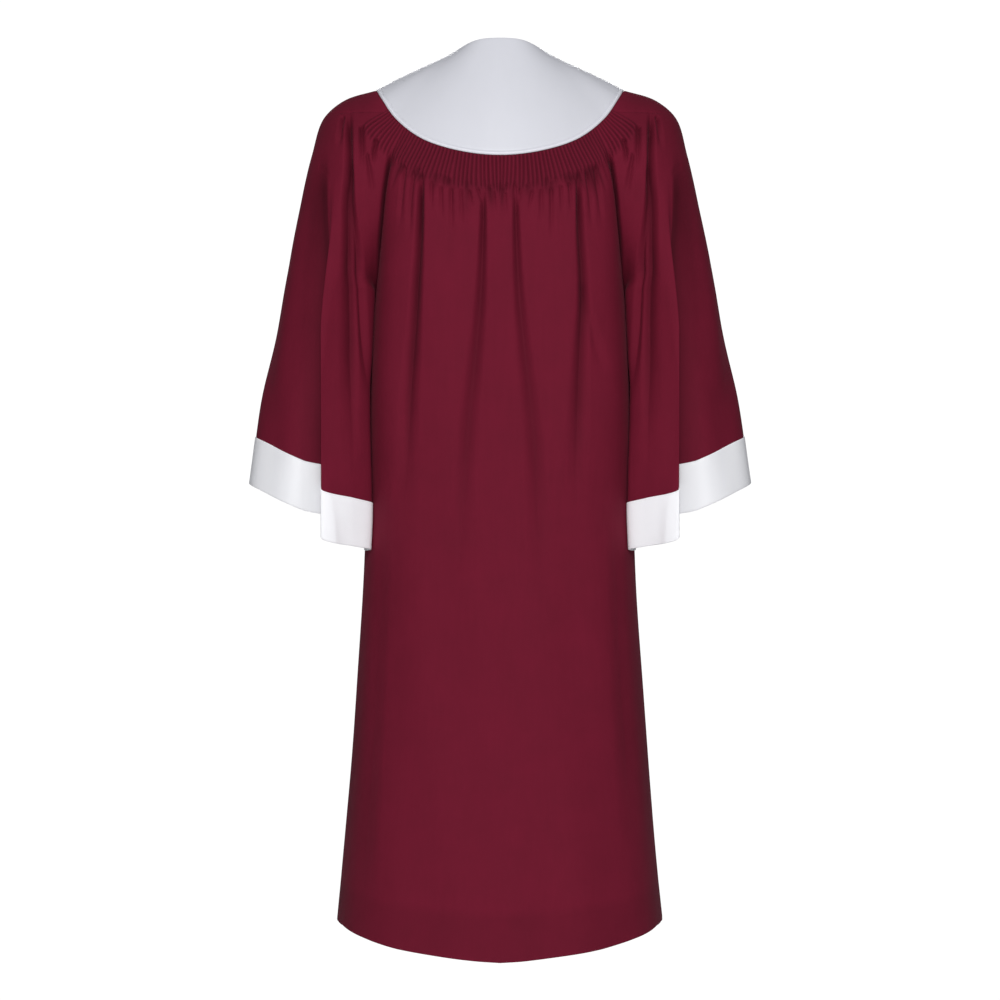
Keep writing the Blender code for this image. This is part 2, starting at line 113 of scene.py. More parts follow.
# Mesh rows and columns: stretches of (first level, last level, steps)
PANEL_ROWS = (
    (0, 0.08, 4),
    (0.08, 1.3, 34),
    (1.3, 2.6, 26),
    (2.6, 5, 36),
    (5, 8, 42),
    (8, 11, 32),
    (11, 12, 18),
)
SLEEVE_ROWS = ((0, 1.6, 56), (1.6, UNDERARM, 62), (UNDERARM, CUFF, 64))
CUFF_ROWS = ((CUFF, 8, 22),)
SLEEVE_COLUMNS = ((0, 0.2, 90), (0.2, 0.8, 216), (0.8, 1, 90))
YOKE_COLUMNS = 261

# Yoke seam, right half, from the centre back over the shoulder to the centre front: x, y, z
YOKE_SEAM = (
    (0, -115, -147.5),
    (59, -107, -139.5),
    (104, -92, -122.5),
    (142, -66, -90.5),
    (164, -36, -56),
    (172.5, 0, -40),
    (169, 36, -61),
    (155, 66, -106),
    (124, 92, -166),
    (70, 111, -218),
    (0, 118, -236),
)
NECK_BACK = ((0, -56, 21.5), (30, -51, 20), (55, -32, 12.5), (67, 0, 7.5))
NECK_FRONT = ((67, 0, 7.5), (58, 34, -34), (39, 64, -92), (19, 86, -142), (0, 99, -184))

# Panels: edge_x, edge_y, edge_z, centre_y, centre_z
BACK_LEVELS = (
    (128, -76, -105, -115, -150),
    (147, -82, -146, -126, -197),
    (155, -82, -186, -131, -238),
    (161, -68, -237, -134, -280),
    (167, -40, -290, -134, -318),
    (173, 0, -335, -133, -352),
    (179, 0, -450, -132, -452),
    (186, 0, -613, -136, -613),
    (191, 0, -743, -145, -744),
    (200, 0, -872, -158, -874),
    (210, 0, -1012, -175, -1016),
    (222, 0, -1152, -195, -1162),
    (227, 0, -1201, -202, -1214),
)
FRONT_LEVELS = (
    (144, 77, -126, 118, -236),
    (153, 82, -165, 125, -283),
    (158, 80, -202, 128, -320),
    (162, 66, -248, 129, -355),
    (168, 38, -294, 129, -388),
    (173, 0, -335, 128, -420),
    (179, 0, -450, 127, -505),
    (186, 0, -613, 131, -640),
    (191, 0, -743, 138, -757),
    (200, 0, -872, 150, -880),
    (210, 0, -1012, 165, -1018),
    (222, 0, -1152, 185, -1160),
    (227, 0, -1201, 192, -1210),
)
# Right sleeve: outer_x, outer_z, inner_x, inner_z, depth, seam_angle
SLEEVE_LEVELS = (
    (176, -42, 128, -105, 76, 80),
    (220, -56, 147, -146, 82, 95),
    (246, -80, 155, -186, 86, 110),
    (262, -132, 161, -237, 84, 125),
    (281, -218, 167, -290, 82, 150),
    (298, -300, 173, -335, 84, 180),
    (317, -412, 180, -462, 92, 180),
    (340.5, -529, 188, -620, 103, 180),
    (351, -591, 191, -682, 108, 180),
)
STEP_LINE = (230, -180, 235, -380, 233, -700)
# Hem: how high it rises towards the sides. Share of the half width, rise
HEM_RISE = (
    (0, -3),
    (0.12, -1.5),
    (0.25, 1),
    (0.4, 4),
    (0.6, 8),
    (0.8, 13.5),
    (0.94, 16),
    (0.98, 13),
    (1, 7),
)
HEM_RISE_LEVELS = (9.5, 12)

# Folds: a line through points (x, z) from the top down, then half width at its top and foot, depth at its top
# and foot, and how sharp its valley is: 0 round, 1 creased
BACK_FOLDS = (
    (((-22, -196), (-23, -250), (-26, -340), (-33, -420), (-41, -499), (-56, -725)), 5, 24, 9.0, 4.5, 0.6),
    (((21, -192), (22, -250), (26, -340), (34, -420), (43, -499), (57, -750)), 5, 24, 8.0, 4.5, 0.55),
    (
        ((-106, -176), (-107, -207), (-110, -290), (-113, -342), (-119, -424), (-126, -532), (-132, -640)),
        5, 22, 14, 5, 0.8,
    ),
    (((106, -176), (108, -240), (112, -342), (108, -424), (104, -532), (101, -640)), 5, 22, 13.0, 5.0, 0.75),
    (((110, -320), (122, -375), (141, -440)), 9, 14, 1.0, 4.5, 0.3),
    (((-160, -660), (-168, -850), (-188, -1160)), 14, 24, 1.0, 4.0, 0.2),
    (((157, -660), (164, -850), (182, -1100)), 14, 22, 1.0, 3.6, 0.2),
    (((-93, -182), (-92, -224)), 4, 5, 4.4, 1.4, 0.8),
    (((-80, -190), (-78, -240)), 4, 6, 4.4, 0.8, 0.7),
    (((-66, -192), (-65, -262)), 4, 7, 4.8, 0.8, 0.7),
    (((-53, -194), (-51, -250)), 4, 6, 4.1, 0.8, 0.7),
    (((-42, -196), (-37, -222)), 4, 5, 4.4, 1.1, 0.9),
    (((-30, -194), (-24, -214)), 4, 4, 4.8, 1.7, 0.9),
    (((-8, -200), (-6, -232)), 4, 6, 2.7, 0.6, 0.6),
    (((7, -200), (8, -236)), 4, 6, 3.1, 0.6, 0.6),
    (((28, -194), (25, -216)), 4, 5, 4.8, 1.7, 0.9),
    (((44, -196), (38, -226)), 4, 5, 4.4, 1.1, 0.9),
    (((56, -194), (55, -246)), 4, 7, 4.4, 0.8, 0.7),
    (((69, -192), (70, -270)), 4, 7, 4.8, 0.8, 0.7),
    (((82, -188), (84, -232)), 4, 6, 4.1, 0.8, 0.7),
    (((94, -184), (96, -228)), 4, 5, 4.4, 1.4, 0.8),
    (((-117, -168), (-121, -215), (-122, -262)), 4, 7, 5.4, 1.1, 0.7),
    (((-129, -160), (-133, -204), (-136, -250)), 4, 7, 5.1, 1.1, 0.7),
    (((118, -168), (122, -212), (124, -250)), 4, 7, 5.4, 1.1, 0.7),
    (((130, -160), (134, -200), (138, -246)), 4, 7, 5.1, 1.1, 0.7),
)
FRONT_FOLDS = (
    (((-22, -285), (-29, -400), (-36, -520), (-50, -760)), 7, 24, 9.0, 4.5, 0.55),
    (((23, -285), (30, -390), (40, -520), (58, -790)), 7, 24, 9.0, 4.5, 0.6),
    (((-100, -238), (-104, -330), (-108, -430), (-118, -660)), 6, 22, 13.0, 5.0, 0.75),
    (((98, -235), (103, -330), (112, -440), (124, -700)), 6, 22, 14.0, 5.0, 0.8),
    (((-112, -390), (-124, -440), (-140, -500)), 9, 14, 1.0, 4.2, 0.3),
    (((-158, -660), (-166, -850), (-184, -1140)), 14, 24, 1.0, 4.0, 0.2),
    (((161, -660), (170, -850), (187, -1120)), 14, 22, 1.0, 3.8, 0.2),
    (((-84, -256), (-84, -306)), 4, 6, 4.8, 1.1, 0.8),
    (((-68, -266), (-68, -336)), 4, 7, 4.8, 0.8, 0.7),
    (((-52, -272), (-51, -320)), 4, 6, 4.1, 0.8, 0.7),
    (((-37, -278), (-34, -304)), 4, 5, 4.8, 1.4, 0.9),
    (((-8, -286), (-7, -326)), 4, 6, 3.1, 0.6, 0.6),
    (((9, -286), (10, -318)), 4, 6, 3.1, 0.6, 0.6),
    (((37, -278), (33, -308)), 4, 5, 4.8, 1.4, 0.9),
    (((52, -272), (53, -330)), 4, 7, 4.4, 0.8, 0.7),
    (((68, -266), (69, -316)), 4, 6, 4.4, 0.8, 0.7),
    (((84, -256), (86, -330)), 4, 7, 4.8, 0.8, 0.7),
    (((116, -226), (122, -290)), 4, 7, 5.1, 1.1, 0.7),
    (((132, -214), (138, -270)), 4, 7, 5.1, 1.1, 0.7),
    (((-117, -226), (-122, -282)), 4, 7, 5.1, 1.1, 0.7),
    (((-132, -214), (-138, -276)), 4, 7, 5.1, 1.1, 0.7),
)
SLEEVE_FOLDS = (
    (
        (
            (207, -84),
            (206, -135),
            (207, -203),
            (204, -255),
            (202, -340),
            (202, -422),
            (201, -500),
            (200, -570),
        ),
        7, 12, 13, 6, 0.7,
    ),
    (((204, -150), (202, -203), (194, -272), (190, -340), (184, -422), (177, -470)), 6, 10, 8.0, 7.0, 0.6),
    (((189, -100), (188, -125), (186, -170)), 6, 8, 8.0, 2.0, 0.7),
    (((216, -84), (218, -100), (220, -135)), 5, 8, 7.0, 1.5, 0.7),
    (((168, -120), (171, -138), (172, -162)), 5, 7, 8.0, 2.0, 0.8),
    (((181, -140), (176, -172), (171, -205)), 5, 8, 6.5, 1.5, 0.6),
    (((249, -152), (241, -160), (234, -170)), 4, 5, 2.0, 1.0, 0.6),
    (((262, -190), (275, -330), (290, -480), (300, -560)), 16, 30, 2.0, 4.0, 0.1),
)

BURGUNDY = (0.154, 0.0083, 0.0254, 1)
BURGUNDY_SHEEN = (0.9, 0.35, 0.45, 1)
YOKE_WHITE = (0.725, 0.73, 0.785, 1)
# The cuffs are of the yoke's white satin, with their white painted lighter as painted light.
CUFF_WHITE_PAINTED_LIGHTER = (0.93, 0.93, 0.96, 1)
SATIN_SHEEN = (0.92, 0.93, 1, 1)

# Stage, in metres: the camera stands square to the back, and sees this width at the shoulders
FLOOR_Z = -1.62
FLOOR_RADIUS = 1.1
AIM = (0, 0, -0.6)
CAMERA_AWAY = 3.0
CAMERA_Z = -0.613
VIEW_WIDTH = 1.4
SENSOR_WIDTH = 36


# Curves and surfaces


def spline(knots, at):
    """The smooth curve through the rows of a table, read at row numbers that may lie between two rows."""
    knots = np.asarray(knots, float)
    steps = np.linalg.norm(np.diff(knots, axis=0), axis=1)
    slopes = np.diff(knots, axis=0) / steps[:, None]
    tangents = np.empty_like(knots)
    tangents[0] = slopes[0]
    tangents[-1] = slopes[-1]
    weights = (steps[1:] / (steps[1:] + steps[:-1]))[:, None]
    tangents[1:-1] = slopes[:-1] * weights + slopes[1:] * (1 - weights)
    at = np.clip(np.asarray(at, float), 0, len(knots) - 1)
    row = np.minimum(at.astype(int), len(knots) - 2)
    f = (at - row)[..., None]
    reach = steps[row][..., None]
    start = (1 + 2 * f) * (1 - f) ** 2 * knots[row] + f * (1 - f) ** 2 * reach * tangents[row]
    end = f**2 * (3 - 2 * f) * knots[row + 1] - f**2 * (1 - f) * reach * tangents[row + 1]
    return start + end


def smooth(value):
    """A smooth step from 0 to 1, as the value goes from 0 to 1."""
    value = np.clip(value, 0, 1)
    return value * value * (3 - 2 * value)


class Loop:
    """The yoke seam as a loop, read by the distance along it from the centre back, to the right."""

    def __init__(self):
        fine = 60
        rows = np.linspace(0, len(YOKE_SEAM) - 1, (len(YOKE_SEAM) - 1) * fine + 1)
        table = np.asarray(YOKE_SEAM, float)
        flip = np.array([-1, 1, 1])
        table = np.vstack([table[1] * flip, table, table[-2] * flip])
        self.points = spline(table, rows + 1) * MM
        lengths = np.linalg.norm(np.diff(self.points, axis=0), axis=1)
        self.travel = np.concatenate([[0], np.cumsum(lengths)])
        self.half = self.travel[-1]
        self.shoulder = self.travel[SHOULDER_ROW * fine]

    def fold(self, s):
        """The same place on the right half, and 1 on the right or -1 on the left."""
        s = np.asarray(s, float)
        right = np.where(s > self.half, 2 * self.half - s, np.abs(s))
        return right, np.where((s < 0) | (s > self.half), -1.0, 1.0)

    def at(self, s):
        right, side = self.fold(s)
        xyz = [np.interp(right, self.travel, self.points[:, axis]) for axis in range(3)]
        xyz[0] = xyz[0] * side
        return np.stack(xyz, axis=-1)


LOOP = Loop()


def neck(s):
    right, side = LOOP.fold(s)
    behind = right / LOOP.shoulder * (len(NECK_BACK) - 1)
    ahead = (right - LOOP.shoulder) / (LOOP.half - LOOP.shoulder) * (len(NECK_FRONT) - 1)
    rows = np.vstack([np.array(NECK_BACK[1]) * (-1, 1, 1), NECK_BACK, NECK_FRONT[1]])
    at_back = spline(rows, np.minimum(behind, len(NECK_BACK) - 1) + 1)
    rows = np.vstack([NECK_BACK[-2], NECK_FRONT])
    at_front = spline(rows, np.maximum(ahead, 0) + 1)
    points = np.where((right <= LOOP.shoulder)[..., None], at_back, at_front) * MM
    points[..., 0] *= side
    return points


def yoke(s, w):
    """The yoke at a distance along its seam, from the neck edge (w 0) to the seam (w 1)."""
    top, bottom = neck(s), LOOP.at(s)
    nudge = 0.5 * MM
    across = LOOP.at(s + nudge) - LOOP.at(s - nudge)
    out = unit(np.cross(across, top - bottom))
    right, _ = LOOP.fold(s)
    swell = np.interp(right, (0, LOOP.shoulder, LOOP.half), YOKE_SWELL)
    w = w[..., None]
    return top * (1 - w) + bottom * w + out * swell[..., None] * np.sin(np.pi * w)


def panel_edge(levels, v):
    armhole = spline(levels[: UNDERARM + 1], v)
    side = spline(levels[UNDERARM:], np.maximum(v - UNDERARM, 0))
    return np.where((v < UNDERARM)[..., None], armhole, side)[..., :3]


def eased_edge(levels, u, v):
    """The panel's edge as its cloth follows it: with the angle at the underarm only close to the seam."""
    rounded = spline(levels, v)[..., :3]
    close = smooth((np.abs(u) - EDGE_EASE) / (1 - EDGE_EASE))[..., None]
    return rounded + (panel_edge(levels, v) - rounded) * close


def fullness(v):
    """How square the body's section is: fuller beside the sleeves, where the cloth hangs over them."""
    beside_sleeves = smooth((v - 2) / 2.2) * (1 - smooth((v - 6) / 1.3))
    return BODY_SQUARENESS * smooth((v - 2) / 3) + SIDE_FULLNESS * beside_sleeves


def panel(levels, head, u, v):
    """A body panel from its left edge (u -1) to its right edge (u 1) at level v. head gives its yoke seam."""

    def section(v):
        row = spline(levels, v)
        edge, centre_y, centre_z = eased_edge(levels, u, v), row[..., 3], row[..., 4]
        spread = 1.35 - 0.35 * smooth((v - 1) / (UNDERARM - 1))
        turn = np.abs(u) ** spread * math.pi / 2
        fuller = fullness(v)
        x = edge[..., 0] * (np.sin(turn) + fuller * np.sin(3 * turn)) / (1 - fuller) * np.sign(u)
        reach = (np.cos(turn) - fuller * np.cos(3 * turn)) / (1 - fuller)
        y = edge[..., 1] + (centre_y - edge[..., 1]) * reach
        z = edge[..., 2] + (centre_z - edge[..., 2]) * np.cos(turn)
        return np.stack([x, y, z], axis=-1) * MM

    held = 1 - smooth(v / 2)
    return section(v) + (head(u) - section(0 * v)) * held[..., None]


def back(u, v):
    return panel(BACK_LEVELS, lambda u: LOOP.at(u * BACK_EDGE), u, v)


def front(u, v):
    return panel(FRONT_LEVELS, lambda u: LOOP.at(LOOP.half - u * FRONT_EDGE), u, v)


def step_line(z):
    x_top, z_top, x_mid, z_mid, x_low, z_low = np.array(STEP_LINE) * MM
    return np.interp(-z, (-z_top, -z_mid, -z_low), (x_top, x_mid, x_low))


def body_side(y, z):
    """How far out the body's side lies below the underarm, at a depth y and a height z, in millimetres."""
    edge_x, _, edge_z, centre_y, _ = np.array(BACK_LEVELS[UNDERARM:], float).T
    wide = np.interp(-z, -edge_z, edge_x)
    deep = np.interp(-z, -edge_z, -centre_y)
    full = fullness(np.interp(-z, -edge_z, np.arange(UNDERARM, len(BACK_LEVELS))))
    turn = np.linspace(0, math.pi / 2, 60)
    across = []
    for square in (BODY_SQUARENESS, BODY_SQUARENESS + SIDE_FULLNESS):
        reach = (np.cos(turn) - square * np.cos(3 * turn)) / (1 - square)
        outward = (np.sin(turn) + square * np.sin(3 * turn)) / (1 - square)
        across.append(np.interp(np.abs(y) / deep, reach[::-1], outward[::-1]))
    return wide * (across[0] + (across[1] - across[0]) * (full - BODY_SQUARENESS) / SIDE_FULLNESS)


def resting(q, v, y, blend):
    """How closely the sleeve's inner side lies against the body below the underarm: 1 where it rests on it."""
    lower = smooth((v - UNDERARM) / 1.8)
    half_width, fade = 42 + 22 * lower, 37 - 10 * lower
    near = smooth((v - 4.4) / 0.5) * (1 - smooth((np.abs(y) - half_width) / fade))
    near *= smooth((0.5 - blend) / 0.3)
    return near * np.where(v >= UNDERARM, 1, smooth((1 - np.abs(1 - 2 * q)) / 0.06))


def sleeve(q, v):
    """The right sleeve at level v, from its back seam (q 0) over the arm (q 0.5) to its front seam (q 1)."""

    def ring(v):
        outer_x, outer_z, inner_x, inner_z, depth, seam_angle = np.moveaxis(spline(SLEEVE_LEVELS, v), -1, 0)
        seam = np.where((q < 0.5)[..., None], panel_edge(BACK_LEVELS, v), panel_edge(FRONT_LEVELS, v))
        below = v >= UNDERARM
        inner_x = np.where(below, inner_x + SLEEVE_CLEAR, seam[..., 0])
        inner_z = np.where(below, inner_z, seam[..., 2])
        seam_angle = np.radians(np.minimum(seam_angle, 180))
        turn = np.abs(1 - 2 * q) * seam_angle
        blend = (np.cos(turn) - np.cos(seam_angle)) / (1 - np.cos(seam_angle))
        x = inner_x + (outer_x - inner_x) * blend
        z = inner_z + (outer_z - inner_z) * blend
        side = np.where(q < 0.5, -1.0, 1.0)
        flat = INNER_FLATNESS * smooth((v - UNDERARM) / (CUFF - UNDERARM)) * smooth((0.55 - blend) / 0.45)
        y = side * depth * np.maximum(np.sin(turn), 0) ** (1 - flat)
        lean = (seam[..., 1] - side * depth * np.sin(seam_angle)) * np.abs(1 - 2 * q)
        y = y + np.where(below, 0, lean)
        away = SLEEVE_CLEAR * smooth((v - 3) / 1.5) * smooth((1 - np.abs(1 - 2 * q)) / 0.08)
        x = x + np.where(below, 0, away * (1 - blend))
        x = x + (body_side(y, z) + SLEEVE_REST - x) * resting(q, v, y, blend)
        points = np.stack([x, y, z], axis=-1) * MM
        beyond = points[..., 0] - step_line(points[..., 2])
        rise = STEP_RISE * (1 + np.tanh(beyond / STEP_WIDTH)) / 2
        rise *= np.exp(-np.maximum(beyond, 0) / STEP_REACH)
        points[..., 2] += rise * smooth((v - UNDERARM) / (CUFF - UNDERARM))
        return points

    s = np.interp(q, (0, 0.5, 1), (BACK_EDGE, LOOP.shoulder, LOOP.half - FRONT_EDGE))
    held = 1 - smooth(v / 2)
    return ring(v) + (LOOP.at(s) - ring(0 * v)) * held[..., None]


# Grids of points, and how they are raised and sunk


def unit(vectors):
    return vectors / np.maximum(np.linalg.norm(vectors, axis=-1, keepdims=True), 1e-12)


def facing(points, sign=1):
    """Directions out of a grid of points, whose rows run down and columns to the right."""
    across = np.gradient(points, axis=1)
    down = np.gradient(points, axis=0)
    return unit(np.cross(across, -down)) * sign


def lengths(points, axis):
    """How far along its row or column each point lies."""
    steps = np.linalg.norm(np.diff(points, axis=axis), axis=-1)
    pad = [(0, 0), (0, 0)]
    pad[axis] = (1, 0)
    return np.cumsum(np.pad(steps, pad), axis=axis)


def waves(rng, points, count, across, down, height):
    """Soft unevenness: waves of random phase, as long across and down as stated."""
    x, z = points[..., 0], points[..., 2]
    total = np.zeros_like(x)
    for _ in range(count):
        kx = rng.uniform(0.6, 1.4) * 2 * math.pi / across * rng.choice((-1, 1))
        kz = rng.uniform(0.6, 1.4) * 2 * math.pi / down
        total += np.sin(kx * x + kz * z + rng.uniform(0, 2 * math.pi))
    return total * height / count**0.5


def folds(table, points, side=1):
    """How far each point lies below the plain cloth, in the folds of a table."""
    x, z = points[..., 0] * side, points[..., 2]
    sunk = np.zeros_like(x)
    for line, wide_top, wide_foot, deep_top, deep_foot, sharp in table:
        line = np.array(line, float) * MM
        fine = spline(line, np.linspace(0, len(line) - 1, 200))
        down = (fine[0, 1] - z) / (fine[0, 1] - fine[-1, 1])
        centre = np.interp(-z, -fine[:, 1], fine[:, 0])
        run = np.clip(down, 0, 1)
        width = (wide_top + (wide_foot - wide_top) * run) * MM
        depth = (deep_top + (deep_foot - deep_top) * run) * MM
        e = np.abs(x - centre) / width
        round_one = np.where(e < 1, (1 + np.cos(np.pi * np.clip(e, 0, 1))) / 2, 0)
        creased = np.clip(1 - e, 0, 1) ** 1.6
        fade = smooth((down + 0.03) / 0.10) * smooth((1.08 - down) / 0.45)
        sunk += depth * fade * (creased * sharp + round_one * (1 - sharp))
    return sunk


def flute(phase):
    """A rounded ridge between sharp valleys at whole numbers of phase, from 0 to 1."""
    return np.abs(np.sin(np.pi * phase)) ** 0.9


def bell(distance, width):
    """1 at no distance, falling off to 0 over about two widths."""
    return np.exp(-((distance / width) ** 2))


def along_armhole(v):
    """1 along the armhole seam, fading towards the yoke and the underarm."""
    return smooth((v - 0.7) / 0.7) * (1 - smooth((v - 3.3) / 1.1))


def seam_dip(v, from_seam):
    """How far the cloth dips into the armhole seam, on both sides of it."""
    return ARMHOLE_DIP * along_armhole(v) * bell(from_seam, ARMHOLE_WIDTH)


def seam_shade(v, from_seam):
    return along_armhole(v) * bell(from_seam, ARMHOLE_SHADE_WIDTH)


def flutes_held(below, foot, fade):
    """1 where the flutes are held: from the yoke seam down to their foot, where they fade out."""
    return smooth((below + 0.5 * MM) / (4 * MM)) * (1 - smooth((below - foot) / fade))


def tuck(below):
    """How far the first rows dip, to go under the yoke's edge."""
    return TUCK_DEPTH * (1 - smooth(below / TUCK_WIDTH))


def turned_hem(points, out, rows, radius=0.9 * MM):
    """The rows that follow a grid's last row: rolled round the edge, and back up inside."""
    last, normal = points[-1], out[-1]
    down = unit(points[-1] - points[-3])
    rolled = []
    for angle in np.radians((40, 90, 140)):
        rolled.append(last + down * radius * math.sin(angle) - normal * radius * (1 - math.cos(angle)))
    inside = points[-1 : -rows - 1 : -1] - out[-1 : -rows - 1 : -1] * 2 * radius
    return np.concatenate([points, np.array(rolled), inside])


def cloth(name, points, finish, sign, painted_shade):
    """A mesh of a grid of points, with its map in metres along and down the cloth.

    painted_shade is the shade painted into the cloth's colour at each point of the first rows: over 0 where
    painted shade darkens valleys, folds and seams, under 0 where painted light brightens it.
    """
    rows, columns = points.shape[:2]
    mesh = bpy.data.meshes.new(name)
    index = np.arange(rows * columns).reshape(rows, columns)
    corners = (index[:-1, :-1], index[1:, :-1], index[1:, 1:], index[:-1, 1:])
    if sign < 0:
        corners = corners[::-1]
    faces = np.stack(corners, axis=-1).reshape(-1, 4)
    mesh.vertices.add(rows * columns)
    mesh.vertices.foreach_set("co", points.astype(np.float32).ravel())
    mesh.loops.add(faces.size)
    mesh.loops.foreach_set("vertex_index", faces.astype(np.int32).ravel())
    mesh.polygons.add(len(faces))
    mesh.polygons.foreach_set("loop_start", np.arange(0, faces.size, 4, dtype=np.int32))
    mesh.update(calc_edges=True)
    mesh.validate()
    mesh.shade_smooth()
    across, down = lengths(points, 1), lengths(points, 0)
    across = across - across[:, columns // 2 : columns // 2 + 1]
    layer = mesh.uv_layers.new(name="cloth")
    flat = np.stack([across, -down], axis=-1).reshape(-1, 2)[faces.ravel()]
    layer.data.foreach_set("uv", flat.astype(np.float32).ravel())
    # The painted shade of each point; the rows past the first ones get none.
    deep = np.zeros(rows * columns, np.float32)
    deep[: painted_shade.size] = painted_shade.ravel()
    mesh.attributes.new("painted_shade", "FLOAT", "POINT").data.foreach_set("value", deep)
    mesh.materials.append(finish)
    made = bpy.data.objects.new(name, mesh)
    bpy.context.scene.collection.objects.link(made)
    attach(made, "root")
    return made


# Finishes


class Graph:
    """A material's node tree, filled by short calls."""

    def __init__(self, name):
        self.material = bpy.data.materials.new(name)
        self.material.use_nodes = True
        self.tree = self.material.node_tree
        self.shader = self.tree.nodes["Principled BSDF"]

    def add(self, kind, settings=(), **inputs):
        node = self.tree.nodes.new("ShaderNode" + kind)
        for key, value in dict(settings).items():
            setattr(node, key, value)
        for key, value in inputs.items():
            self.join(value, node.inputs[key.replace("_", " ")])
        return node

    def join(self, value, socket):
        if isinstance(value, bpy.types.NodeSocket):
            self.tree.links.new(value, socket)
        else:
            socket.default_value = value

    def maths(self, operation, *values):
        node = self.tree.nodes.new("ShaderNodeMath")
        node.operation = operation
        for socket, value in zip(node.inputs, values):
            self.join(value, socket)
        return node.outputs[0]


def woven(name, colour, roughness, threads, thread_depth, mottle, sheen, sheen_colour, specular, satin):
    """Cloth with a fine weave, faint unevenness of shade, and a soft sheen.

    threads is for each metre, thread_depth in metres, and mottle gives the scale and share of the unevenness.
    """
    g = Graph(name)
    place = g.add("UVMap", {"uv_map": "cloth"}).outputs["UV"]
    split = g.add("SeparateXYZ", Vector=place)
    turn = threads * 2 * math.pi
    warp = g.maths("SINE", g.maths("MULTIPLY", split.outputs["X"], turn))
    if satin:
        across = g.maths("MULTIPLY", split.outputs["Y"], turn * 0.22)
        weft = g.maths("SINE", g.maths("ADD", across, g.maths("MULTIPLY", split.outputs["X"], turn * 0.31)))
        height = g.maths("ADD", warp, g.maths("MULTIPLY", weft, 0.35))
    else:
        diagonal = g.maths("ADD", split.outputs["X"], g.maths("MULTIPLY", split.outputs["Y"], 0.62))
        twill = g.maths("SINE", g.maths("MULTIPLY", diagonal, turn * 0.55))
        height = g.maths("ADD", g.maths("MULTIPLY", warp, 0.45), twill)
    where = g.add("TexCoord").outputs["Object"]
    scale, share = mottle
    soft = g.add("TexNoise", Vector=where, Scale=scale, Detail=3.0, Roughness=0.55)
    slub_place = g.add("Mapping", Vector=where, Scale=(1.0, 1.0, 0.08))
    slub = g.add("TexNoise", Vector=slub_place.outputs[0], Scale=scale * 9, Detail=2.0)
    softly, thickly = g.maths("MULTIPLY", soft.outputs[0], 0.65), g.maths("MULTIPLY", slub.outputs[0], 0.35)
    mixed = g.maths("ADD", softly, thickly)
    shade = g.add("MapRange", Value=mixed, To_Min=1 - share, To_Max=1 + share)
    shade.inputs["From Min"].default_value = 0.3
    shade.inputs["From Max"].default_value = 0.7
    tone = shade.outputs[0]
    # Painted shade and light: the painted_shade attribute darkens the base colour in folds, valleys and seams,
    # and lightens it where it is under 0.
    painted_shade = g.add("Attribute", {"attribute_name": "painted_shade"}).outputs["Fac"]
    darkest = SATIN_SHADE if satin else DEEPEST_SHADE
    tone = g.maths("MULTIPLY", tone, g.maths("SUBTRACT", 1.0, g.maths("MULTIPLY", painted_shade, darkest)))
    base = g.add("VectorMath", {"operation": "SCALE"})
    base.inputs[0].default_value = colour[:3]
    g.join(tone, base.inputs["Scale"])
    g.join(base.outputs[0], g.shader.inputs["Base Color"])
    rough = g.add("MapRange", Value=soft.outputs[0], To_Min=roughness - 0.04, To_Max=roughness + 0.04)
    g.join(rough.outputs[0], g.shader.inputs["Roughness"])
    bump = g.add("Bump", Strength=0.55, Distance=thread_depth, Height=height)
    fine = g.add("Bump", Strength=0.35, Distance=0.6 * MM, Height=soft.outputs[0], Normal=bump.outputs[0])
    g.join(fine.outputs[0], g.shader.inputs["Normal"])
    g.shader.inputs["Specular IOR Level"].default_value = specular
    g.shader.inputs["Sheen Weight"].default_value = sheen
    g.shader.inputs["Sheen Roughness"].default_value = 0.4
    g.shader.inputs["Sheen Tint"].default_value = sheen_colour
    return g.material


TWILL = {
    "roughness": 0.82,
    "threads": 1500,
    "thread_depth": 0.06 * MM,
    "mottle": (22, 0.06),
    "sheen": 0.04,
    "sheen_colour": BURGUNDY_SHEEN,
    "specular": 0.1,
    "satin": False,
}
SATIN = {
    "roughness": 0.42,
    "threads": 2200,
    "thread_depth": 0.02 * MM,
    "mottle": (9, 0.015),
    "sheen": 0.08,
    "sheen_colour": SATIN_SHEEN,
    "specular": 0.4,
    "satin": True,
}
body_cloth = woven("body_cloth", BURGUNDY, **TWILL)
yoke_satin = woven("yoke_satin", YOKE_WHITE, **SATIN)
# The cuff satin is a copy of the yoke satin whose colour is painted lighter, as painted light.
cuff_satin = woven("cuff_satin", CUFF_WHITE_PAINTED_LIGHTER, **SATIN)


# Body panels


def levels_at(stops):
    """Levels down a piece, from stretches of (first level, last level, steps)."""
    runs = [np.linspace(a, b, steps, endpoint=False) for a, b, steps in stops]
    return np.concatenate(runs + [[stops[-1][1]]])


def panel_flutes(rng, across, below, count):
    """A panel's flutes: phase, where they are held, how near a ridge each point is, and height."""
    phase = (across + 1) / 2 * count
    knots = np.arange(count + 1)
    foot = np.interp(phase, knots, rng.uniform(*FLUTE_FOOT, count + 1)) * MM
    height = np.interp(phase, knots, rng.uniform(*FLUTE_HEIGHT, count + 1)) * MM
    stray = np.interp(phase, knots, rng.uniform(-FLUTE_STRAY, FLUTE_STRAY, count + 1))
    stray *= np.clip(below / (50 * MM), 0, 1) * smooth((1 - np.abs(across)) / 0.08)
    held = flutes_held(below, foot, 13 * MM)
    ridge = flute(phase + stray)
    return phase, held, ridge, height * (ridge - FLUTE_MIDDLE) * held


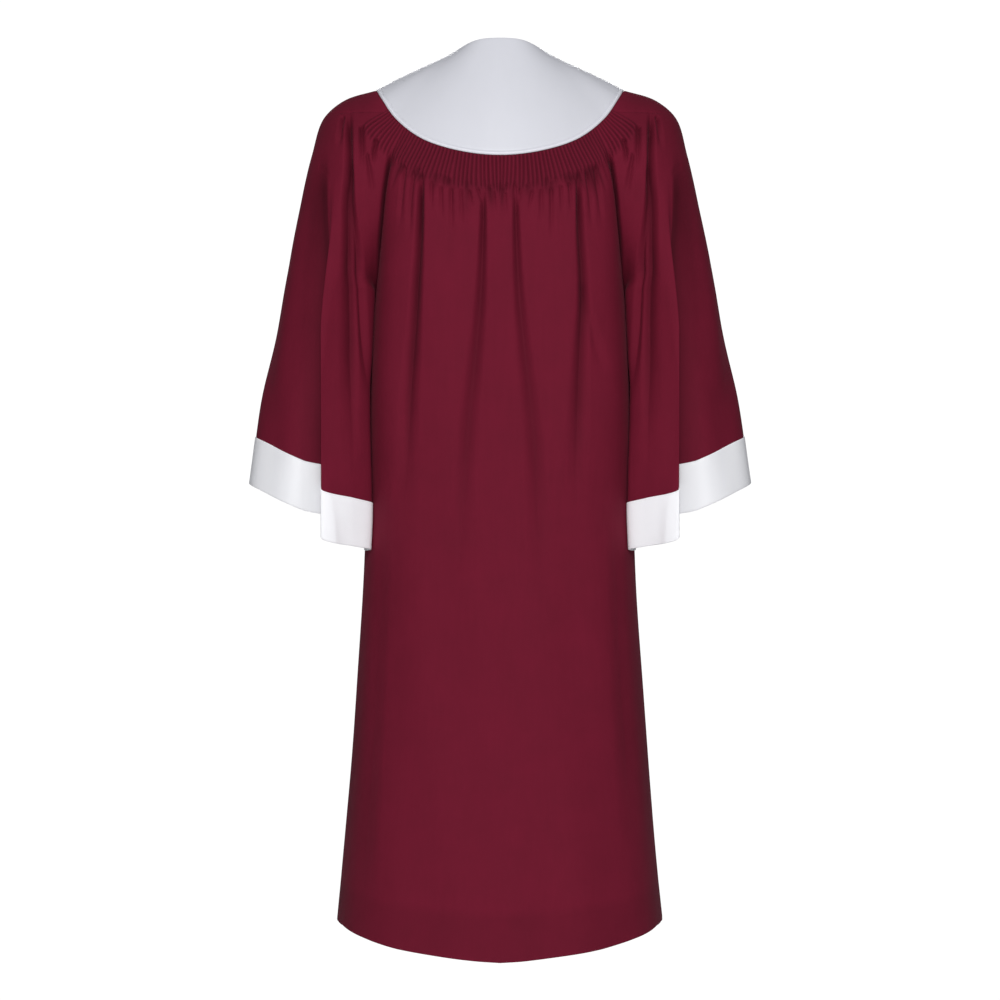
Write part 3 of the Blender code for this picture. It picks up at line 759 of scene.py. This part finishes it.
def panel_gathers(rng, phase, below, count):
    """How deep the gathers lie below the flutes, where two or three flutes run together."""
    deep = np.zeros_like(phase)
    for knot in range(1, count):
        reach = rng.uniform(*GATHER_REACH) * MM
        width = rng.uniform(*GATHER_WIDTH)
        depth = rng.uniform(0, 1) ** 1.6 * GATHER_DEPTH
        lean = rng.uniform(-0.5, 0.5)
        start = rng.uniform(*GATHER_START) * MM
        run = (below - start) / reach
        away = np.abs(phase - knot - lean * np.clip(run, 0, 1)) / width
        shape = np.clip(1 - away, 0, 1) ** 1.5
        deep += depth * shape * smooth((run + 0.1) / 0.2) * smooth((1 - run) / 0.8)
    return deep


def panel_shade(points, held, ridge, gathers, creases):
    """How much shade is painted into a panel's colour in its flute valleys, gathers and creases. Beside the
    sleeves painted light makes the cloth a little lighter.
    """
    aside, low = np.abs(points[..., 0]), -points[..., 2]
    painted_shade = held * np.clip(1 - ridge, 0, 1) * FLUTE_SHADE
    painted_shade = np.maximum(painted_shade, np.clip(gathers / (4.5 * MM), 0, 0.7))
    painted_shade = np.maximum(painted_shade, np.clip(creases / (12 * MM), 0, 1) ** 1.5)
    # Painted light beside the sleeves, and painted shade over the whole fluted band.
    beside = smooth((aside - 0.12) / 0.04) * smooth((low - 0.2) / 0.07) * (1 - smooth((low - 0.52) / 0.08))
    return painted_shade + 0.12 * held - 0.8 * beside


def low_shade(points, share, from_foot, stitched):
    """Painted shade low on a panel: a darker band over the hem's doubled cloth and along its stitch line, and
    on the sides low down, which turn away from the light.
    """
    # Painted shade over the hem band and its stitch line.
    hem_shade = 0.16 * smooth((HEM_STITCH + 3 * MM - from_foot) / (4 * MM)) + 0.14 * stitched
    return hem_shade + 0.42 * smooth((share - 0.86) / 0.14) * smooth((-points[..., 2] - 0.72) / 0.25)


def make_panel(name, surface, table, behind, count, seed):
    rng = np.random.default_rng(seed)
    sign = 1 if behind else -1
    u = np.linspace(-1, 1, count * FLUTE_COLUMNS + 1)
    across, down = np.meshgrid(u, levels_at(PANEL_ROWS))
    points = surface(across, down)
    share = np.abs(points[..., 0]) / np.abs(points[:, :1, 0])
    first, last = HEM_RISE_LEVELS
    points[..., 2] += np.interp(share, *np.array(HEM_RISE).T) * MM * smooth((down - first) / (last - first))
    out = facing(points, sign)
    below, arc = lengths(points, 0), lengths(points, 1)
    from_foot = below[-1] - below
    from_seam = np.minimum(arc, arc[:, -1:] - arc)
    phase, held, ridge, flutes = panel_flutes(rng, across, below, count)
    gathers = panel_gathers(rng, phase, below, count)
    creases = folds(table, points)
    uneven = waves(rng, points, 5, 0.11, 0.7, 0.9 * MM) * smooth((below - 0.05) / 0.12)
    calm = smooth((1 - np.abs(across)) / 0.05)
    stitched = bell(from_foot - HEM_STITCH, HEM_STITCH_WIDTH)
    raised = (flutes - creases - gathers + uneven - tuck(below)) * calm - HEM_STITCH_DEPTH * stitched
    painted_shade = panel_shade(points, held, ridge, gathers, creases)
    painted_shade += low_shade(points, share, from_foot, stitched)
    painted_shade = np.maximum(painted_shade, seam_shade(down, from_seam))
    points = points + out * raised[..., None]
    points[..., 1] += sign * seam_dip(down, from_seam)
    points[0] -= unit(points[1] - points[0]) * TUCK_LENGTH
    points = turned_hem(points, facing(points, sign), BODY_HEM_ROWS)
    return cloth(name, points, body_cloth, sign, painted_shade)


# Sleeves and cuffs


def sleeve_flutes(q, below):
    """The slanted flutes of a sleeve's head, beside the plain band over the shoulder: height and shade."""
    s = np.interp(q, (0, 0.5, 1), (BACK_EDGE, LOOP.shoulder, LOOP.half - FRONT_EDGE))
    behind = (s - BACK_EDGE) / SLEEVE_FLUTES_BACK
    before = (LOOP.half - FRONT_EDGE - s) / SLEEVE_FLUTES_FRONT
    place = np.where(q < 0.5, behind, before)
    held = flutes_held(below, SLEEVE_FLUTE_FOOT, 14 * MM) * (1 - smooth((place - 0.98) / 0.08))
    ridge = flute(place * SLEEVE_FLUTES)
    return SLEEVE_FLUTE_HEIGHT * (ridge - FLUTE_MIDDLE) * held, held * np.clip(1 - ridge, 0, 1) * FLUTE_SHADE


def overlap(points, q, beyond):
    """How the inner part of the sleeve folds over the outer part behind the arm, and again in front.

    Gives how far the cloth doubles back in x and how far it lifts off, by how far beyond the step line it is.
    """
    low = -points[..., 2]
    grow = smooth((low - 0.15) / 0.24)
    from_top = np.abs(q - 0.5)
    fade = smooth(from_top / 0.13) * smooth((0.5 - from_top) / 0.08)
    doubled = np.sin(np.pi * np.clip(beyond / OVERLAP_WIDTH, -2, 2) / 2)
    doubled *= bell(beyond, 1.5 * OVERLAP_WIDTH) * OVERLAP * grow * fade
    lift = OVERLAP_LIFT * np.tanh(beyond / (0.35 * OVERLAP_WIDTH)) * np.exp(-np.abs(beyond) / (42 * MM))
    lift *= (0.25 + 0.75 * grow) * smooth((low - 0.16) / 0.05) * fade
    return doubled, lift


def overlap_shade(points, beyond):
    """The shade beside the overlap, on the outer part of the sleeve."""
    under = smooth((beyond - 4 * MM) / (6 * MM)) * np.exp(-np.maximum(beyond - 14 * MM, 0) / (13 * MM))
    return under * 0.95 * smooth((-points[..., 2] - 0.12) / 0.08)


def sleeve_light(points):
    """The shoulder's cap turns away from the light, and the inner side below the arm is lit a little more."""
    x, z = points[..., 0], points[..., 2]
    inner = smooth((0.2 - x) / 0.02) * smooth((-z - 0.27) / 0.06)
    cap = smooth((z + 0.15) / 0.06) * smooth((x - 0.16) / 0.03)
    return 0.22 * cap - 0.5 * inner


def make_cuff(word, side, points, out, beyond, under):
    """A satin band on the sleeve's last levels: its top edge rolls under, and its foot is a turned hem."""
    open_cloth = 1 - bell(beyond - 8 * MM, 13 * MM)
    points = points + out * (0.1 + 1.1 * open_cloth)[..., None] * MM
    lip = points[0] - out[0] * 1.5 * MM
    edge = points[0] - out[0] * 0.4 * MM - unit(points[1] - points[0]) * 0.5 * MM
    points = np.concatenate([lip[None], edge[None], points])
    out = np.concatenate([out[:1], out[:1], out])
    points = turned_hem(points, out, CUFF_HEM_ROWS, 1.0 * MM)
    # Painted shadow beside the overlap, and painted light on the inner and outer parts of the cuff.
    lit = smooth(-beyond / (10 * MM)) + smooth((beyond - 0.05) / 0.03)
    shade = under * 1.2 - 0.25 * (1 - under) * lit
    shade = np.concatenate([shade[:1], shade[:1], shade])
    return cloth("cuff_band_" + word, points, cuff_satin, side, shade)


def make_sleeve(word, side, seed):
    rng = np.random.default_rng(seed)
    v = levels_at(SLEEVE_ROWS)
    cut = len(v)
    across, down = np.meshgrid(levels_at(SLEEVE_COLUMNS), np.concatenate([v, levels_at(CUFF_ROWS)]))
    points = sleeve(across, down)
    out = facing(points)
    below, arc = lengths(points, 0), lengths(points, 1)
    from_seam = np.minimum(arc, arc[:, -1:] - arc)
    beyond = points[..., 0] - step_line(points[..., 2])
    inset = 1 - np.abs(1 - 2 * across)
    inward = np.where(across < 0.5, 1, -1)
    flutes, flute_shade = sleeve_flutes(across, below)
    sunk = folds(SLEEVE_FOLDS, points) * smooth((down - 0.3) / 0.5)
    unrolled = np.stack([arc, 0 * arc, points[..., 2]], axis=-1)
    swing = 1.0 * MM + 1.6 * MM * smooth((down - UNDERARM) / 3)
    uneven = waves(rng, unrolled, 6, 0.11, 0.7, 1.0) * swing * smooth((down - 1.5) / 2)
    uneven *= smooth(inset / 0.25)
    band_seam = bell(points[..., 2] - BAND_SEAM_Z, 1.3 * MM) * smooth((0.236 - points[..., 0]) / 0.02)
    raised = (flutes - sunk + uneven - 0.9 * MM * band_seam) * smooth(inset / 0.06) - tuck(below)
    # The step in the cuff is kept free of other relief
    raised *= 1 - 0.85 * bell(beyond - 6 * MM, 13 * MM) * smooth((down - 5.5) / 1.2)
    doubled, lift = overlap(points, across, beyond)
    under = overlap_shade(points, beyond)
    # Painted shade in the flute valleys, folds, beside the overlap and along the armhole seam, with the
    # painted light and shade of sleeve_light.
    painted_shade = np.maximum(flute_shade, np.clip(sunk / (15 * MM), 0, 1) ** 1.3)
    painted_shade = np.maximum(painted_shade, under) + sleeve_light(points)
    painted_shade = np.maximum(painted_shade, seam_shade(down, from_seam))
    slope = np.gradient(points[..., 1], axis=1) / (np.gradient(points[..., 0], axis=1) + 1e-9)
    points = points + out * raised[..., None]
    points[..., 0] -= doubled
    points[..., 1] += inward * (seam_dip(down, from_seam) + lift) - doubled * np.clip(slope, -2, 2)
    points = points * (side, 1, 1)
    out = facing(points, side)
    upper = points[:cut].copy()
    upper[0] -= unit(upper[1] - upper[0]) * TUCK_LENGTH
    top = cloth("sleeve_cloth_" + word, upper, body_cloth, side, painted_shade[:cut])
    band = make_cuff(word, side, points[cut:], out[cut:], beyond[cut:], under[cut:])
    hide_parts("sleeve_" + word)
    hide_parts("cuff_" + word)
    return top, band


# Yoke


def rolled(row, onward, out, steps):
    """Rows that roll a piece's edge under, from its edge row."""
    return np.array([row + onward * past * MM - out * inward * MM for past, inward in steps])


def make_yoke(name, node, behind):
    """Half of the yoke: its outer satin rolls over the neck edge and the seam edge onto its inner layer."""
    front_end = 2 * LOOP.half - LOOP.shoulder
    first, last = (-LOOP.shoulder, LOOP.shoulder) if behind else (LOOP.shoulder, front_end)
    s = np.linspace(first, last, YOKE_COLUMNS)
    w = np.concatenate([np.linspace(0, 0.94, 44), np.linspace(0.944, 1, 19)])
    across, down = np.meshgrid(s, w)
    points = yoke(across, down)
    out = facing(points)
    along = lengths(points, 0)
    from_seam = along[-1:] - along
    lip = bell(from_seam - 1.6 * MM, 1.6 * MM)
    stitching = bell(from_seam - 5.2 * MM, 0.7 * MM)
    right, _ = LOOP.fold(across)
    at_shoulder = bell(right - LOOP.shoulder, 22 * MM)
    rise = 0.6 * MM + (1.5 - 1.3 * at_shoulder) * MM * lip - 0.35 * MM * stitching
    # Painted highlight along the rolled seam edge, and painted shade in the stitching line.
    shade = -0.6 * np.exp(-((from_seam / (3.4 * MM)) ** 4)) + 0.12 * stitching
    outer = points + out * rise[..., None]
    inner = points - out * 1.2 * MM
    foot = rolled(outer[-1], unit(points[-1] - points[-3]), out[-1], SEAM_ROLL)
    top = rolled(outer[0], unit(points[0] - points[2]), out[0], NECK_ROLL)
    before = np.concatenate([inner[::-6], top])
    full = np.concatenate([before, outer, foot, inner[-1:]])
    painted_shade = np.concatenate([0 * before[..., 0], shade])
    made = cloth(name, full, yoke_satin, 1, painted_shade)
    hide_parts(node)
    return made


back_panel = make_panel("back_cloth", back, BACK_FOLDS, True, BACK_FLUTES, 11)
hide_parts("back")
front_panel = make_panel("front_cloth", front, FRONT_FOLDS, False, FRONT_FLUTES, 23)
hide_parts("front")
left = make_sleeve("left", -1, 5)
right = make_sleeve("right", 1, 8)
back_yoke = make_yoke("back_yoke_satin", "back_yoke", True)
front_yoke = make_yoke("front_yoke_satin", "front_yoke", False)


# Stage, light and camera


def stage_floor():
    mesh = bpy.data.meshes.new("floor")
    turn = np.linspace(0, 2 * math.pi, 97)[:-1]
    ring = [(FLOOR_RADIUS * math.cos(a), FLOOR_RADIUS * math.sin(a), FLOOR_Z) for a in turn]
    mesh.from_pydata(ring, [], [list(range(len(ring)))])
    made = bpy.data.objects.new("floor", mesh)
    bpy.context.scene.collection.objects.link(made)
    g = Graph("floor")
    g.shader.inputs["Base Color"].default_value = (0.9, 0.9, 0.9, 1)
    g.shader.inputs["Roughness"].default_value = 0.9
    g.shader.inputs["Emission Color"].default_value = (1, 1, 1, 1)
    g.shader.inputs["Emission Strength"].default_value = 0.35
    mesh.materials.append(g.material)


def area_light(name, place, size, power):
    """A soft light, turned to the middle of the robe."""
    data = bpy.data.lights.new(name, "AREA")
    data.shape = "RECTANGLE"
    data.size, data.size_y = size
    data.energy = power
    made = bpy.data.objects.new(name, data)
    bpy.context.scene.collection.objects.link(made)
    made.location = place
    made.rotation_euler = (Vector(AIM) - Vector(place)).to_track_quat("-Z", "Y").to_euler()
    made.visible_camera = False


def world_light(ambient, seen):
    """A plain world: one colour and strength that lights the robe, and another that the camera sees."""
    world = bpy.data.worlds.new("studio")
    bpy.context.scene.world = world
    world.use_nodes = True
    tree = world.node_tree
    tree.nodes.clear()
    path = tree.nodes.new("ShaderNodeLightPath")
    mix = tree.nodes.new("ShaderNodeMixShader")
    output = tree.nodes.new("ShaderNodeOutputWorld")
    for slot_number, (colour, strength) in ((1, ambient), (2, seen)):
        light = tree.nodes.new("ShaderNodeBackground")
        light.inputs["Color"].default_value = (*colour, 1)
        light.inputs["Strength"].default_value = strength
        tree.links.new(light.outputs[0], mix.inputs[slot_number])
    tree.links.new(path.outputs["Is Camera Ray"], mix.inputs[0])
    tree.links.new(mix.outputs[0], output.inputs["Surface"])


stage_floor()
world_light(((0.93, 0.95, 1), 0.16), ((1, 1, 1), 1.05))
area_light("key", (0.0, -3.4, 0.7), (1.0, 1.0), 89)
area_light("fill_left", (-1.8, -2.8, 0.0), (1.2, 1.8), 5.5)
area_light("fill_right", (1.8, -2.8, 0.0), (1.2, 1.8), 5.5)
area_light("rear", (0.0, 3.4, 0.8), (1.8, 1.8), 70)

camera = bpy.data.cameras.new("camera")
camera.sensor_width = SENSOR_WIDTH
camera.lens = SENSOR_WIDTH * CAMERA_AWAY / VIEW_WIDTH
viewer = bpy.data.objects.new("camera", camera)
bpy.context.scene.collection.objects.link(viewer)
viewer.location = (0, -CAMERA_AWAY, CAMERA_Z)
viewer.rotation_euler = (math.pi / 2, 0, 0)
bpy.context.scene.camera = viewer
bpy.context.scene.view_settings.view_transform = "Standard"
